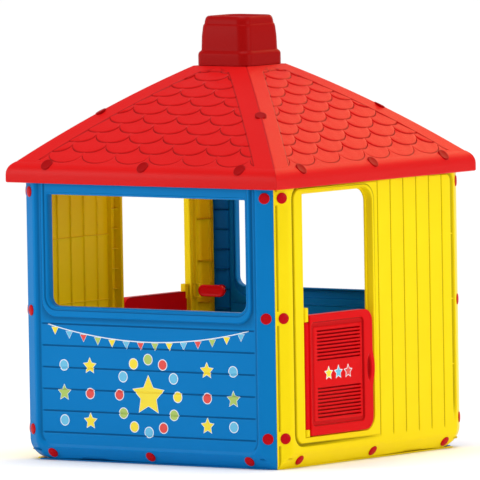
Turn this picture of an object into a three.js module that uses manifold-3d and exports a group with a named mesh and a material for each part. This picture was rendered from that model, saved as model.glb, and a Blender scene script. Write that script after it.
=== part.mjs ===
// Children's plastic playhouse: four wall panels, a four-panel pyramid roof with a chimney,
// two half-height doors on moulded hinges, and the plugs that cover the wall screws.
// Units are millimetres, +Z up, origin at the bottom centre of the house.
import * as THREE from 'three';
import { mergeVertices } from 'three/addons/utils/BufferGeometryUtils.js';
import Module from 'manifold-3d';

// ---- driving dimensions -------------------------------------------------------------------
const GAP = 0.3; // clearance between neighbouring pieces
const WALL_OUT = 500; // outer face of a wall from the house centre
const WALL_DEPTH = 30; // depth of a wall moulding
const WALL_TOP = 880; // top edge of the walls, hidden under the eave
const SKIN = 3.5; // plastic thickness of a wall
const CORNER = 475; // where two walls meet, measured on both axes
const BORDER = 431; // where the tilted side border starts
const BORDER_LOW = 53; // height of the tilted bottom border
const EAVE = 520; // half width of the roof at the eave
const EAVE_LOW = 857; // underside of the eave
const EAVE_TURN = 497; // half width where the roof slope starts
const PLATEAU = 104; // half width of the flat top the chimney stands on
const PLATEAU_Z = 1204; // height of that flat top
const ROOF_SKIN = 4;
const SPIGOT = 70; // half width of the hole the chimney plugs into
const CHIMNEY_TOP = 1357;
const CAP_R = 17; // radius of a screw plug
const CAP_H = 5.5;
const STEM_R = 6.5;
const STEM_L = 9;
const CAP_SIDE = 451; // plug columns, from the wall's centre line
const CAP_ROWS = [95, 462, 829];
const CAP_FLOOR = [-378, 0, 378];
const CAP_FLOOR_Z = 25;
const PLANK_ROWS = [88, 155, 222, 289, 356, 423]; // grooves of the window walls
const PLANK_COLS = [27, 94, 161, 228, 295, 362]; // grooves of the door walls
const WINDOW = { left: -378, right: 378, low: 478, high: 822, radius: 30 };
const FIELD = 5; // depth of the recessed field of a window wall
const FIELD_HALF = 414;
const FIELD_LOW = 52;
const DOORWAY = { left: -361, right: -7, low: 92, high: 834, radius: 42 };
const DOOR = { left: -340, right: -17, low: 95, high: 465, radius: 38, thick: 27 };
const GRIP_Z = 284; // middle of the finger grip on the door's edge
const SLOT = { left: -300, right: -78, high: 5.5, pitch: 11, count: 9, groups: [146.5, 322.5] };
const DOOR_FACE = 506; // outer face of the door
const HINGE_U = -350; // hinge line, from the wall's centre line
const HINGE_D = 494; // hinge line, from the house centre
const PIN_R = 5;
const LATCH_U = -378; // latch pin, from the wall's centre line
const LEVER = { long: 100, high: 37, thick: 12 };
const COLORS = { blue: 0x0082c8, yellow: 0xffe61c, red: 0xde101a, plug: 0xc8141c };

const wasm = await Module();
wasm.setup();

// ---- solid modelling helpers --------------------------------------------------------------
function solid(geometry) {
  const bare = geometry.clone();
  bare.deleteAttribute('normal');
  bare.deleteAttribute('uv');
  const merged = mergeVertices(bare, 1e-4);
  const mesh = new wasm.Mesh({
    numProp: 3,
    vertProperties: new Float32Array(merged.attributes.position.array),
    triVerts: new Uint32Array(merged.index.array),
  });
  return new wasm.Manifold(mesh);
}

function joined(solids) {
  return solids.reduce((total, next) => total.add(next));
}

function box(x0, x1, y0, y1, z0, z1) {
  const geometry = new THREE.BoxGeometry(x1 - x0, y1 - y0, z1 - z0);
  geometry.translate((x0 + x1) / 2, (y0 + y1) / 2, (z0 + z1) / 2);
  return solid(geometry);
}

function outline(points) {
  return new THREE.Shape(points.map(([a, b]) => new THREE.Vector2(a, b)));
}

function extruded(shape, depth, steps = 4) {
  return new THREE.ExtrudeGeometry(shape, { depth, bevelEnabled: false, curveSegments: steps });
}

// A rounded rectangle with a radius for each corner:
// lower left, lower right, upper right, upper left.
function roundedShape(left, right, low, high, radii) {
  const [ll, lr, ur, ul] = radii;
  const shape = new THREE.Shape();
  shape.moveTo(left + ll, low);
  shape.lineTo(right - lr, low);
  if (lr > 0) shape.absarc(right - lr, low + lr, lr, -Math.PI / 2, 0, false);
  shape.lineTo(right, high - ur);
  if (ur > 0) shape.absarc(right - ur, high - ur, ur, 0, Math.PI / 2, false);
  shape.lineTo(left + ul, high);
  if (ul > 0) shape.absarc(left + ul, high - ul, ul, Math.PI / 2, Math.PI, false);
  shape.lineTo(left, low + ll);
  if (ll > 0) shape.absarc(left + ll, low + ll, ll, Math.PI, Math.PI * 1.5, false);
  return shape;
}

// A shape drawn in (across, height) becomes a slab between two distances in front of the centre.
function slab(shape, near, far, steps = 4) {
  const geometry = extruded(shape, far - near, steps);
  geometry.rotateX(Math.PI / 2);
  geometry.translate(0, -near, 0);
  return solid(geometry);
}

// A profile drawn in (distance from centre, height) runs along the wall direction.
function alongWall(points, half) {
  const geometry = extruded(outline(points), 2 * half);
  geometry.rotateX(Math.PI / 2);
  geometry.rotateZ(-Math.PI / 2);
  geometry.translate(half, 0, 0);
  return solid(geometry);
}

function upright(points, z0, z1) {
  const geometry = extruded(outline(points), z1 - z0);
  geometry.translate(0, 0, z0);
  return solid(geometry);
}

function turned(body, degrees) {
  return body.rotate([0, 0, degrees]);
}

function material(color) {
  return new THREE.MeshStandardMaterial({ color, roughness: 0.4, metalness: 0 });
}

function toMesh(body, name, color) {
  const data = body.getMesh();
  const geometry = new THREE.BufferGeometry();
  const positions = new Float32Array(data.vertProperties);
  geometry.setAttribute('position', new THREE.BufferAttribute(positions, 3));
  geometry.setIndex(new THREE.BufferAttribute(new Uint32Array(data.triVerts), 1));
  geometry.computeVertexNormals();
  const mesh = new THREE.Mesh(geometry, material(color));
  mesh.name = name;
  return mesh;
}

// ---- walls, drawn as the front wall: across is X, outward is -Y ----------------------------
function wallBlock() {
  const mitre = GAP / 2 + 0.1;
  const inner = WALL_OUT - WALL_DEPTH - 20;
  const plan = [
    [-inner, -inner - mitre - 0.01],
    [-CORNER, -CORNER - mitre],
    [-BORDER, -WALL_OUT],
    [BORDER, -WALL_OUT],
    [CORNER, -CORNER - mitre],
    [inner, -inner - mitre - 0.01],
  ];
  const block = upright(plan, 0, WALL_TOP);
  const depthLimit = box(-600, 600, -600, -(WALL_OUT - WALL_DEPTH), 0, WALL_TOP);
  const lowSlope = alongWall([
    [WALL_OUT + 30, -10],
    [WALL_OUT - 31, -0.2],
    [WALL_OUT, BORDER_LOW],
    [WALL_OUT + 30, BORDER_LOW + 10],
  ], 600);
  return { block, depthLimit, lowSlope };
}

// The moulded skin of a wall; fieldHalf is half the width of a recessed field, or 0.
function wallShell(fieldHalf) {
  const { block, depthLimit, lowSlope } = wallBlock();
  const limit = joined([depthLimit, box(-CORNER, -BORDER + 20, -600, -450, 0, WALL_TOP),
    box(BORDER - 20, CORNER, -600, -450, 0, WALL_TOP)]);
  const outer = block.intersect(limit).subtract(lowSlope);
  const pocketPlan = [
    [-444, -440],
    [-444, -469],
    [-468, -472],
    [-BORDER + 1, -WALL_OUT + SKIN],
    [BORDER - 1, -WALL_OUT + SKIN],
    [468, -472],
    [444, -469],
    [444, -440],
  ];
  const pocket = upright(pocketPlan, SKIN, WALL_TOP - SKIN);
  const lowPocket = alongWall([
    [WALL_OUT + 10, -20],
    [WALL_OUT - 36, -3],
    [WALL_OUT - 36, SKIN],
    [WALL_OUT - 30, SKIN + 1.5],
    [WALL_OUT - SKIN, BORDER_LOW + 1.5],
    [WALL_OUT + 10, BORDER_LOW + 20],
  ], 600);
  const foot = box(-452, 452, -468.8, -454, 0, 4);
  const back = WALL_OUT - FIELD - SKIN;
  const fieldBack = box(-fieldHalf - 4, fieldHalf + 4, -WALL_OUT, -back, FIELD_LOW - 4, WALL_TOP);
  const hollow = pocket.subtract(lowPocket);
  return outer.subtract(fieldHalf > 0 ? hollow.subtract(fieldBack) : hollow).add(foot);
}

function capFrames() {
  const side = 30;
  const drop = THREE.MathUtils.radToDeg(Math.atan2(31, BORDER_LOW));
  const sideFace = WALL_OUT - (CAP_SIDE - BORDER) * (WALL_OUT - CORNER) / (CORNER - BORDER);
  const lowFace = WALL_OUT - (BORDER_LOW - CAP_FLOOR_Z) * 31 / BORDER_LOW;
  const frames = [];
  for (const row of CAP_ROWS) {
    frames.push({ at: [-CAP_SIDE, -sideFace, row], yaw: -side, pitch: 0 });
    frames.push({ at: [CAP_SIDE, -sideFace, row], yaw: side, pitch: 0 });
  }
  for (const across of CAP_FLOOR) {
    frames.push({ at: [across, -lowFace, CAP_FLOOR_Z], yaw: 0, pitch: drop });
  }
  return frames;
}

// Things drawn about the Z axis with +Z outward are set onto a border facet.
function seated(body, frame) {
  return body.rotate([90 + frame.pitch, 0, 0]).rotate([0, 0, frame.yaw]).translate(frame.at);
}

function lathe(points, segments) {
  const profile = points.map(([r, z]) => new THREE.Vector2(r, z));
  const geometry = new THREE.LatheGeometry(profile, segments);
  geometry.rotateX(Math.PI / 2);
  return solid(geometry);
}

function plug() {
  return lathe([
    [0, -STEM_L],
    [STEM_R, -STEM_L],
    [STEM_R, GAP],
    [CAP_R, GAP],
    [CAP_R * 0.86, CAP_H * 0.6],
    [CAP_R * 0.5, CAP_H * 0.92],
    [0, CAP_H],
  ], 12);
}

function plugHole() {
  return lathe([
    [0, -14],
    [STEM_R + GAP, -14],
    [STEM_R + GAP, 5],
    [0, 5],
  ], 12);
}

function withPlugHoles(wall) {
  return capFrames().reduce((body, frame) => body.subtract(seated(plugHole(), frame)), wall);
}

function windowWall() {
  const w = WINDOW;
  const hole = roundedShape(w.left, w.right, w.low, w.high, [w.radius, w.radius, 0, 0]);
  const opening = slab(hole, 440, 520);
  const jamb = slab(roundedShape(w.left - SKIN, w.right + SKIN, w.low - SKIN, w.high + SKIN,
    [w.radius + SKIN, w.radius + SKIN, 0, 0]), WALL_OUT - WALL_DEPTH, WALL_OUT - 1);
  const field = slab(roundedShape(-FIELD_HALF, FIELD_HALF, FIELD_LOW, WALL_TOP + 5, [35, 35, 0, 0]),
    WALL_OUT - FIELD, 520);
  const rimShape = roundedShape(-404, 404, 445, WALL_TOP + 6, [54, 54, 0, 0]);
  const rim = slab(rimShape, WALL_OUT - FIELD - 1, 521);
  const inner = WALL_OUT - FIELD - SKIN;
  const grooves = PLANK_ROWS.map((z) => box(-404, 404, -520, -(inner + 1.5), z - 2, z + 2));
  const beads = PLANK_ROWS.map((z) => {
    return box(-404, 404, -(inner + 0.5), -(inner - 2.5), z - 3.5, z + 3.5);
  });
  const floorRibs = [-300, -200, -100, 100, 200, 300].map((u) => {
    const rib = box(u - 1.5, u + 1.5, -488, -(WALL_OUT - WALL_DEPTH), SKIN - 1, 60);
    return rib.subtract(wallBlock().lowSlope);
  });
  let wall = joined([wallShell(FIELD_HALF), jamb, ...beads, ...floorRibs]);
  wall = wall.subtract(opening).subtract(joined(grooves)).subtract(field.subtract(rim));
  return withPlugHoles(wall);
}

function doorWall() {
  const d = DOORWAY;
  const hole = roundedShape(d.left, d.right, d.low, d.high, [0, d.radius, d.radius, 0]);
  const opening = slab(hole, 440, 520);
  const corners = [0, d.radius + 6, d.radius + 6, 0];
  const step = roundedShape(d.left, d.right + 6, d.low - 6, d.high + 6, corners);
  const rebate = slab(step, DOOR_FACE - DOOR.thick - 2, 520);
  const sleeve = roundedShape(d.left - SKIN, d.right + 6 + SKIN, d.low - 6 - SKIN,
    d.high + 6 + SKIN, corners);
  const jamb = slab(sleeve, WALL_OUT - WALL_DEPTH, WALL_OUT - 1);
  const face = WALL_OUT - SKIN;
  const grooves = PLANK_COLS.map((u) => {
    return box(u - 2, u + 2, -520, -(WALL_OUT - 2), BORDER_LOW + 22, WALL_TOP + 1);
  });
  const beads = PLANK_COLS.map((u) => {
    return box(u - 3.5, u + 3.5, -(face + 0.5), -(WALL_OUT - 6), BORDER_LOW + 4, WALL_TOP - SKIN);
  });
  const edge = box(414, 427, -520, -(WALL_OUT - 3), BORDER_LOW + 30, WALL_TOP + 1);
  const ringOut = slab(roundedShape(-417, 520, 64, WALL_TOP + 9, [38, 0, 0, 0]), WALL_OUT - 3, 520);
  const ringIn = slab(roundedShape(-404, 530, 74, WALL_TOP + 9, [30, 0, 0, 0]), WALL_OUT - 4, 521);
  const ring = ringOut.subtract(ringIn).subtract(box(2, 600, -530, -400, 0, 900));
  let wall = joined([wallShell(0), jamb, ...beads]);
  wall = wall.subtract(opening).subtract(rebate);
  wall = wall.subtract(joined(grooves)).subtract(edge).subtract(ring);
  return withPlugHoles(wall);
}

// ---- doors and their hinges, drawn on the front wall ---------------------------------------
function doorLeaf() {
  const d = DOOR;
  const back = DOOR_FACE - d.thick;
  const shape = roundedShape(d.left, d.right, d.low, d.high, [0, d.radius, d.radius, 0]);
  const lip = DOOR_FACE - WALL_OUT - GAP;
  const grip = solid(new THREE.CylinderGeometry(40, 40, lip, 20)).scale([0.36, 1, 1.35])
    .translate([d.right - 4, -(DOOR_FACE - lip / 2), GRIP_Z]);
  const dimple = solid(new THREE.SphereGeometry(30, 10, 6)).scale([0.35, 0.2, 1.3])
    .translate([d.right - 18, -DOOR_FACE, GRIP_Z]);
  const recess = roundedShape(d.left + 9, d.right - 48, d.low + 31, d.high - 25,
    [14, 14, 14, 14]);
  const field = slab(recess, DOOR_FACE - 6, DOOR_FACE + 1);
  const hollow = slab(roundedShape(d.left + 6, d.right - 6, d.low + 6, d.high - 6, [0, 30, 30, 0]),
    back - 1, DOOR_FACE - 11);
  const slots = [];
  for (let i = 0; i < SLOT.count; i += 1) {
    for (const group of SLOT.groups) {
      const low = group + i * SLOT.pitch;
      slots.push(box(SLOT.left, SLOT.right, -520, -400, low, low + SLOT.high));
    }
  }
  const stile = box(d.left, d.left + 12, -DOOR_FACE, -back, d.low, d.high);
  let leaf = joined([slab(shape, back, DOOR_FACE), grip]);
  leaf = leaf.subtract(hollow).add(stile).subtract(field).subtract(dimple).subtract(joined(slots));
  const knuckle = box(HINGE_U - 6, d.left + 1, -(HINGE_D + 7), -(HINGE_D - 7), 115, 442);
  const pins = [[441, 456], [103, 116]].map(([z0, z1]) => {
    const pin = new THREE.CylinderGeometry(PIN_R, PIN_R, z1 - z0, 16);
    pin.rotateX(Math.PI / 2);
    pin.translate(HINGE_U, -HINGE_D, (z0 + z1) / 2);
    return solid(pin);
  });
  leaf = leaf.subtract(box(d.left - 1, d.left + 8, -520, -400, 441.7, 500));
  leaf = leaf.subtract(box(d.left - 1, d.left + 8, -520, -400, 50, 115.3));
  return joined([leaf, knuckle, ...pins]);
}

function hingeBracket(low, high, pinLow, pinHigh) {
  const body = box(DOORWAY.left + GAP, DOOR.left + 2, -504, -482, low, high);
  const pinHole = new THREE.CylinderGeometry(PIN_R + 0.1, PIN_R + 0.1, pinHigh - pinLow, 16);
  pinHole.rotateX(Math.PI / 2);
  pinHole.translate(HINGE_U, -HINGE_D, (pinLow + pinHigh) / 2);
  return body.subtract(solid(pinHole));
}

function latchLever() {
  const shape = roundedShape(0, LEVER.long, -LEVER.high / 2, LEVER.high / 2, [18, 18, 18, 18]);
  const geometry = extruded(shape, LEVER.thick, 3);
  geometry.rotateX(Math.PI / 2);
  geometry.translate(0, LEVER.thick / 2, 0);
  const paddle = turned(solid(geometry), 90).translate([LATCH_U, -457, 466]);
  const hole = new THREE.CylinderGeometry(PIN_R + 0.1, PIN_R + 0.1, 60, 16);
  hole.rotateX(Math.PI / 2);
  hole.translate(LATCH_U, -451, 466);
  return paddle.subtract(solid(hole));
}

// The socket screwed to the inside of the wall beside the hinge; its two ears hold the lever.
function latchSocket() {
  const back = WALL_OUT - WALL_DEPTH - GAP;
  const plate = box(LATCH_U - 16, LATCH_U + 16, -back, -(back - 4), 444, 488);
  const ears = [[444, 447], [485, 488]].map(([z0, z1]) => {
    return box(LATCH_U - 7, LATCH_U + 7, -back, -444, z0, z1);
  });
  const pin = new THREE.CylinderGeometry(PIN_R, PIN_R, 42, 16);
  pin.rotateX(Math.PI / 2);
  pin.translate(LATCH_U, -451, 466);
  return joined([plate, ...ears, solid(pin)]);
}

// ---- roof ----------------------------------------------------------------------------------
// The slope is slightly domed: it gets steeper towards the eave.
function slopeZ(r) {
  const run = r - PLATEAU;
  return PLATEAU_Z - 0.575 * run - 0.00037 * run * run;
}

function roofProfile() {
  const slope = [EAVE_TURN, 460, 400, 330, 250, 170, PLATEAU];
  const under = [170, 250, 330, 400, 462];
  return [
    [EAVE - 6, EAVE_LOW],
    [EAVE, EAVE_LOW + 3],
    [EAVE, EAVE_LOW + 20],
    [EAVE - 4, EAVE_LOW + 33],
    [EAVE - 12, EAVE_LOW + 47],
    ...slope.map((r) => [r, slopeZ(r)]),
    [SPIGOT, PLATEAU_Z],
    [SPIGOT, PLATEAU_Z - ROOF_SKIN],
    [PLATEAU - 3, PLATEAU_Z - ROOF_SKIN],
    ...under.map((r) => [r, slopeZ(r) - ROOF_SKIN - 1]),
    [462, WALL_TOP + GAP],
    [EAVE - 6, WALL_TOP + GAP],
  ];
}

// The tiled field: rows that step down the slope.
function tileField() {
  const top = 130;
  const bottom = 490;
  const rows = 10;
  const points = [];
  for (let i = 0; i <= rows; i += 1) {
    const r = bottom + (top - bottom) * i / rows;
    points.push([r, slopeZ(r) - 3]);
    if (i < rows) points.push([r, slopeZ(r) - 0.2]);
  }
  points.push([top, slopeZ(top) + 20]);
  points.push([bottom + 2, slopeZ(bottom) + 20]);
  return points;
}

function roofPanel() {
  const wedge = upright([[0, -GAP / 2 - 0.2], [-600, -600.35], [600, -600.35]], 800, 1300);
  const panel = alongWall(roofProfile(), 560);
  const field = upright([[0, -100], [-400, -500], [400, -500]], 800, 1300);
  const bore = new THREE.CylinderGeometry(CAP_R, CAP_R, 40, 14);
  const bores = [-375, 0, 375].map((u) => solid(bore).translate([u, -(488 + 20), 914]));
  const tiled = panel.subtract(alongWall(tileField(), 560).intersect(field));
  return tiled.subtract(joined(bores)).intersect(wedge);
}

function chimney() {
  const levels = [
    [101, PLATEAU_Z + GAP],
    [101, PLATEAU_Z + 34],
    [98, PLATEAU_Z + 43],
    [92, PLATEAU_Z + 47],
    [87, CHIMNEY_TOP - 24],
    [83, CHIMNEY_TOP - 20],
    [82, CHIMNEY_TOP - 5],
    [78, CHIMNEY_TOP],
  ];
  const inside = [
    [SPIGOT - SKIN, PLATEAU_Z - 20],
    [SPIGOT - SKIN, PLATEAU_Z + 5],
    [88, PLATEAU_Z + 8],
    [86, PLATEAU_Z + 40],
    [80, CHIMNEY_TOP - 26],
    [76, CHIMNEY_TOP - 8],
  ];
  const spigot = [[SPIGOT - GAP, PLATEAU_Z - 16], [SPIGOT - GAP, PLATEAU_Z + 5]];
  const shell = stacked(levels, 28).add(stacked(spigot, 18));
  return shell.subtract(stacked(inside, 20));
}

// A rounded square that changes half width from level to level.
function stacked(levels, radius) {
  const slices = [];
  for (let i = 0; i + 1 < levels.length; i += 1) {
    const [r0, z0] = levels[i];
    const [r1, z1] = levels[i + 1];
    if (z1 - z0 < 0.01) continue;
    const geometry = extruded(roundedShape(-1, 1, -1, 1, Array(4).fill(radius / 90)), 1, 4);
    const position = geometry.attributes.position;
    for (let k = 0; k < position.count; k += 1) {
      const t = position.getZ(k);
      const r = r0 + (r1 - r0) * t;
      position.setXYZ(k, position.getX(k) * r, position.getY(k) * r, z0 + (z1 - z0) * t);
    }
    slices.push(solid(geometry));
  }
  return joined(slices);
}

// ---- assembly ------------------------------------------------------------------------------
const house = new THREE.Group();
house.name = 'playhouse';

function place(body, name, color) {
  house.add(toMesh(body, name, color));
}

const SIDES = [
  { side: 'front', angle: 0, wall: windowWall, color: COLORS.blue },
  { side: 'right', angle: 90, wall: doorWall, color: COLORS.yellow },
  { side: 'back', angle: 180, wall: windowWall, color: COLORS.blue },
  { side: 'left', angle: 270, wall: doorWall, color: COLORS.yellow },
];

for (const { side, angle, wall, color } of SIDES) {
  place(turned(wall(), angle), `wall_${side}`, color);
  place(turned(roofPanel(), angle), `roof_panel_${side}`, COLORS.red);
  capFrames().forEach((frame, index) => {
    place(turned(seated(plug(), frame), angle), `screw_plug_${side}_${index + 1}`, COLORS.plug);
  });
  if (wall === doorWall) {
    place(turned(doorLeaf(), angle), `door_${side}`, COLORS.red);
    place(turned(hingeBracket(444, 488, 443, 470), angle), `hinge_upper_${side}`, COLORS.yellow);
    place(turned(hingeBracket(90.3, 113, 102, 114), angle), `hinge_lower_${side}`, COLORS.yellow);
    place(turned(latchSocket(), angle), `latch_socket_${side}`, COLORS.yellow);
    place(turned(latchLever(), angle), `latch_lever_${side}`, COLORS.red);
  }
}
place(chimney(), 'chimney', COLORS.red);

export default house;
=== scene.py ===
"""A children's plastic playhouse: two blue window walls, two yellow door walls with red half
doors, and a red tiled pyramid roof with a chimney. Lengths are written in millimetres."""

import math

import bpy
from mathutils import Matrix, Vector
from mathutils.geometry import delaunay_2d_cdt


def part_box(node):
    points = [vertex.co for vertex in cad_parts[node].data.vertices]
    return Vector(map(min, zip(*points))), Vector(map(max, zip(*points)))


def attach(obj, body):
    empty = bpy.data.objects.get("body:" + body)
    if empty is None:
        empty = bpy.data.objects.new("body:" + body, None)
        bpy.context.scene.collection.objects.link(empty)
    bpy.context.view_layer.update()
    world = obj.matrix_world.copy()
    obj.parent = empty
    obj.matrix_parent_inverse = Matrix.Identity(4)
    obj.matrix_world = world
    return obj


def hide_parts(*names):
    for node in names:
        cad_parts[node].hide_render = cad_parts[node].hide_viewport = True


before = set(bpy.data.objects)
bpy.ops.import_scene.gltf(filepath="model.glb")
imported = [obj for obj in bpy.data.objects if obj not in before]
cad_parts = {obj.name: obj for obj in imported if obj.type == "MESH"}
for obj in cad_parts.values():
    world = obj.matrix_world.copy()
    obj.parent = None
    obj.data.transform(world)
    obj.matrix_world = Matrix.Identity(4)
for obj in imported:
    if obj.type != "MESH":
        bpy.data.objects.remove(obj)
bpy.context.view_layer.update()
MM = 0.001

# ---- sizes, read from the frame where it has them ---------------------------------------------


def extent(node):
    """Lowest and highest corner of a CAD node, in millimetres."""
    low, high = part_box(node)
    return [v / MM for v in low], [v / MM for v in high]


wall_low, wall_high = extent("wall_front")
roof_low, roof_high = extent("roof_panel_front")
stack_high = extent("chimney")[1]
door_low, door_high = extent("door_right")
block_low, block_high = extent("hinge_upper_right")
plug_low, plug_high = extent("screw_plug_front_9")

WALL = -wall_low[1]  # outer face of a wall from the house centre
CORNER = wall_high[0]  # where two walls meet, on both axes
WALL_TOP = wall_high[2]
WALL_BACK = WALL - 30  # inner edge of the window and door frames
EAVE = -roof_low[1]
EAVE_LOW = roof_low[2]
PLATEAU_Z = roof_high[2]
CHIMNEY_TOP = stack_high[2]
DOOR_FACE = door_high[0]
DOOR_LOW, DOOR_HIGH = door_low[2], door_high[2]
PLUG_R = (plug_high[0] - plug_low[0]) / 2
BEND = 431  # where a side border starts to tilt back
CREST = 47  # where the bottom border starts to tilt back
SKIN = 3.5
PLANK = 67.1  # pitch of the planks on all four walls
FIELD_HALF = 414  # recessed field of a window wall
FIELD_LOW = 53
FIELD_DEPTH = 7
FIELD_RADIUS = 34
FRAME = (-404, 404, 443)  # left, right and foot of the raised window frame
FRAME_RADIUS = 54
FRAME_STEP = 3.4  # how far the frame steps back round the opening
WINDOW_RADIUS = 30
ROW_FOOT = 88  # height of the lowest plank groove of a window wall
COLUMN_LEFT = 27  # first upright plank groove of a door wall
ROUND = 68  # radius of a wall's more rounded lower corner
SQUARE = 14  # radius of its other lower corner
LIP_X = 466  # thin groove along the border beside the doorway
WINDOW = (-378, 378, 478, 822)
DOORWAY = (-361, -1, 92, 840)
DOOR = (-340, -17)
PLUG_ROWS = (95, 462, 829)
PLUG_SIDE = 451
PLUG_FLOOR = (-378, 0, 378)
PLUG_FLOOR_Z = 25
SIDES = (("front", 0), ("right", 90), ("back", 180), ("left", 270))

# ---- small maths ------------------------------------------------------------------------------


def smooth(low, high, value):
    """0 below low, 1 above high, with a soft ramp between them."""
    t = min(max((value - low) / (high - low), 0.0), 1.0)
    return t * t * (3 - 2 * t)


def soft_min(a, b, blend):
    h = max(blend - abs(a - b), 0.0) / blend
    return min(a, b) - h * h * blend / 4


def rounded_distance(x, z, rect, radius):
    """Signed distance to a rounded rectangle (left, right, low, high), negative inside."""
    left, right, low, high = rect
    dx = abs(x - (left + right) / 2) - (right - left) / 2 + radius
    dz = abs(z - (low + high) / 2) - (high - low) / 2 + radius
    outside = math.hypot(max(dx, 0.0), max(dz, 0.0))
    return outside + min(max(dx, dz), 0.0) - radius


def rounded_loop(rect, radii, steps=8, grow=0.0):
    """Closed outline of a rectangle; radii are lower left, lower right, upper right, upper left."""
    left, right, low, high = rect
    corners = (
        (left, low, 1, 1, 180),
        (right, low, -1, 1, 270),
        (right, high, -1, -1, 0),
        (left, high, 1, -1, 90),
    )
    points = []
    for (x, z, sx, sz, start), radius in zip(corners, radii):
        size = max(radius + grow, 0.0) if radius else 0.0
        cx = x - sx * grow + sx * size
        cz = z - sz * grow + sz * size
        count = steps if radius else 0
        for i in range(count + 1):
            angle = math.radians(start + 90 * i / max(count, 1))
            points.append((cx + size * math.cos(angle), cz + size * math.sin(angle)))
    return points


def inside(point, loop):
    x, z = point
    hit = False
    x0, z0 = loop[-1]
    for x1, z1 in loop:
        if (z1 > z) != (z0 > z) and x < (x0 - x1) * (z - z1) / (z0 - z1) + x1:
            hit = not hit
        x0, z0 = x1, z1
    return hit


# ---- mesh building ----------------------------------------------------------------------------


class Shell:
    """Collects the faces of one piece, in millimetres."""

    def __init__(self):
        self.verts = []
        self.faces = []
        # Painted shade per vertex: how much the colour is darkened in grooves.
        self.crease = []  # 0 on open surfaces, up to 1 at the bottom of a groove

    def add(self, verts, faces, flip=False, crease=None):
        base = len(self.verts)
        self.verts.extend(verts)
        self.crease.extend(crease or [0.0] * len(verts))
        for face in faces:
            ids = [base + i for i in face]
            self.faces.append(ids[::-1] if flip else ids)

    def build(self, name, material, body, turn=0, nodes=()):
        mesh = bpy.data.meshes.new(name)
        matrix = Matrix.Rotation(math.radians(turn), 4, "Z") @ Matrix.Scale(MM, 4)
        mesh.from_pydata([matrix @ Vector(v) for v in self.verts], [], self.faces)
        # Store the painted shade amounts for the material.
        painted_shade = mesh.attributes.new("crease", "FLOAT", "POINT")
        painted_shade.data.foreach_set("value", self.crease)
        mesh.validate()
        mesh.shade_smooth()
        obj = bpy.data.objects.new(name, mesh)
        bpy.context.scene.collection.objects.link(obj)
        mesh.materials.append(material)
        weighted = obj.modifiers.new("even_shading", "WEIGHTED_NORMAL")
        weighted.keep_sharp = True
        if nodes:
            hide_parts(*nodes)
        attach(obj, body)
        return obj


def triangulate(outline, holes, lines):
    """Triangles over an outline with holes, with edges along every line: (points, triangles)."""
    points = []
    edges = []
    for loop in [outline, *holes]:
        base = len(points)
        points.extend(loop)
        edges.extend((base + i, base + (i + 1) % len(loop)) for i in range(len(loop)))
    for line in lines:
        base = len(points)
        points.extend(line)
        edges.extend((base + i, base + i + 1) for i in range(len(line) - 1))
    flat = [Vector(p) for p in points]
    verts, _, tris, *_ = delaunay_2d_cdt(flat, edges, [], 0, 1e-3)
    kept = []
    for tri in tris:
        centre = [sum(verts[i][k] for i in tri) / 3 for k in (0, 1)]
        if inside(centre, outline) and not any(inside(centre, hole) for hole in holes):
            kept.append(tri)
    used = sorted({i for tri in kept for i in tri})
    place = {old: new for new, old in enumerate(used)}
    return [tuple(verts[i]) for i in used], [[place[i] for i in tri] for tri in kept]


def rim_edges(tris):
    """The directed edges that only one triangle uses."""
    seen = {}
    for tri in tris:
        for a, b in zip(tri, (*tri[1:], tri[0])):
            seen[(a, b)] = True
    return [(a, b) for a, b in seen if (b, a) not in seen]


def plate(shell, region, outer, inner, crease=None):
    """A skin between two surfaces; outer and inner turn a flat point into a 3-D one."""
    points, tris = region
    top = [outer(*p) for p in points]
    under = [inner(*p) for p in points]
    shell.add(top, tris, crease=[crease(*p) for p in points] if crease else None)
    shell.add(under, tris, flip=True)
    for a, b in rim_edges(tris):
        shell.add([top[a], top[b], under[b], under[a]], [(0, 3, 2, 1)])


def loft(shell, loops, closed=True, cap=False, ring=False):
    """Joins a row of loops with equal counts; ring joins the last loop to the first."""
    count = len(loops[0])
    verts = [p for loop in loops for p in loop]
    faces = []
    last = len(loops) if ring else len(loops) - 1
    for k in range(last):
        for i in range(count if closed else count - 1):
            j = (i + 1) % count
            low, high = k * count, (k + 1) % len(loops) * count
            faces.append((low + i, low + j, high + j, high + i))
    if cap:
        faces.append(tuple(range(count))[::-1])
        faces.append(tuple((len(loops) - 1) * count + i for i in range(count)))
    shell.add(verts, faces)


def on_wall(x, depth, z):
    """A point of the front wall, given its distance out from the house centre."""
    return (x, -depth, z)


def block(shell, low, high, bevel=1.2):
    """A box with small rounded edges."""
    (x0, y0, z0), (x1, y1, z1) = low, high
    loops = []
    for z, inset in ((z0, bevel), (z0 + bevel * 0.3, bevel * 0.3), (z0 + bevel, 0),
                     (z1 - bevel, 0), (z1 - bevel * 0.3, bevel * 0.3), (z1, bevel)):
        loop = rounded_loop((x0, x1, y0, y1), (bevel * 1.5,) * 4, 3, -inset)
        loops.append([(x, y, z) for x, y in loop])
    loft(shell, loops, cap=True)


# ---- materials --------------------------------------------------------------------------------


# Painted shade: the base colour in creases is darkened towards this share of the open colour.
PAINTED_SHADE_TONE = 0.16  # colour at the bottom of a crease, as a share of the open colour


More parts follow.
